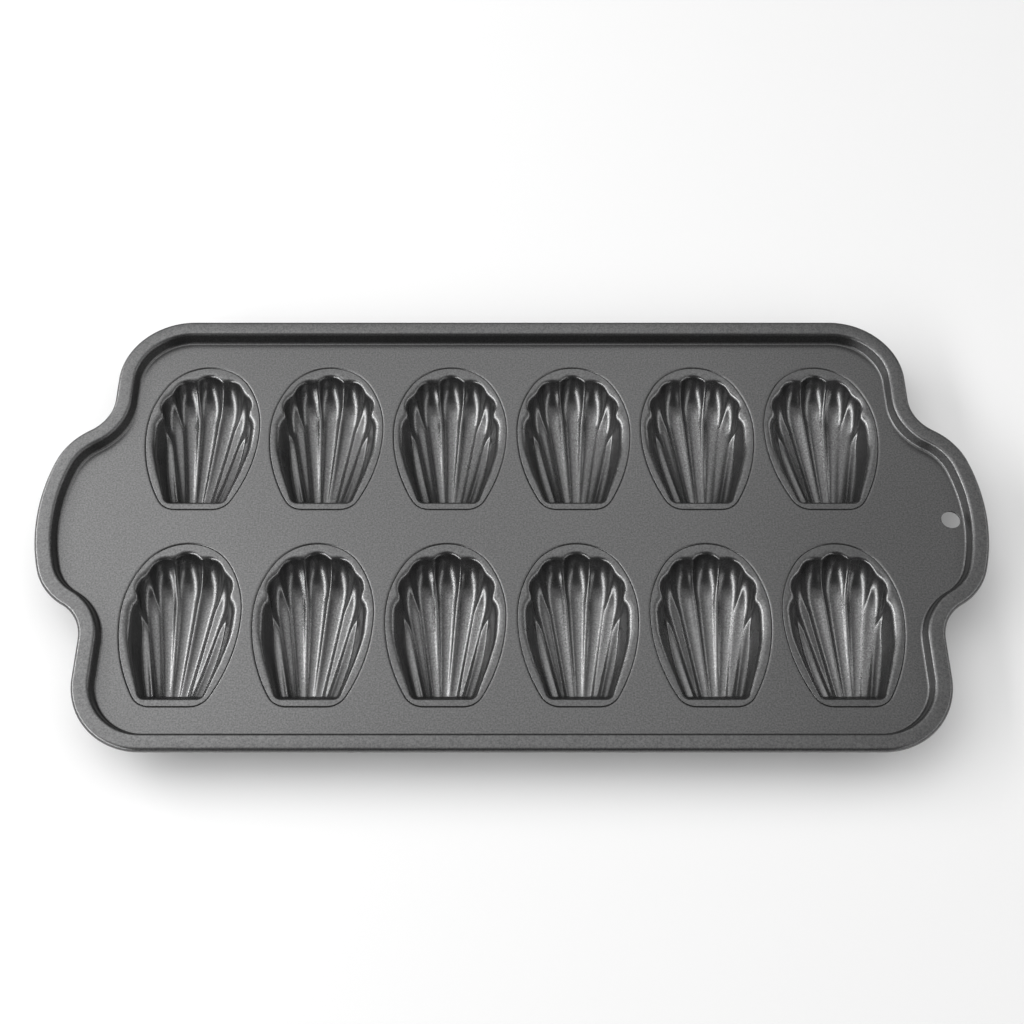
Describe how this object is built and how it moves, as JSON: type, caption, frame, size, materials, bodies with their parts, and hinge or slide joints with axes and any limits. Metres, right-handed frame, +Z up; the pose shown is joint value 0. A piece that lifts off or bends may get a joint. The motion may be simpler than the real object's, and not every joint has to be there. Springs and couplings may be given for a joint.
{
  "type": "madeleine pan",
  "caption": "Shallow steel baking tray with rows of fluted shell-shaped cups, a raised rim with a rolled edge, rounded end tabs and a hanging hole.",
  "frame": {"origin": "middle of the pan's length and width, on the surface that the bottoms of the cups stand on", "axes": "+X along the pan towards the tab with the hanging hole, +Y towards the back, where the scalloped tips of the shells point, +Z up, out of the cups"},
  "size_m": [0.3984, 0.203, 0.0196],
  "materials": {
    "tray_coating": "satin, fine orange peel, dark grey non-stick coating",
    "mould_coating": "satin, dark grey non-stick coating",
    "wire_steel": "drawn"
  },
  "bodies": {
    "root": {"tray": "tray_coating", "rim_wire": "wire_steel", "mould_back_1": "mould_coating", "mould_back_2": "mould_coating", "mould_back_3": "mould_coating", "mould_back_4": "mould_coating", "mould_back_5": "mould_coating", "mould_back_6": "mould_coating", "mould_front_1": "mould_coating", "mould_front_2": "mould_coating", "mould_front_3": "mould_coating", "mould_front_4": "mould_coating", "mould_front_5": "mould_coating", "mould_front_6": "mould_coating"}
  },
  "joints": []
}
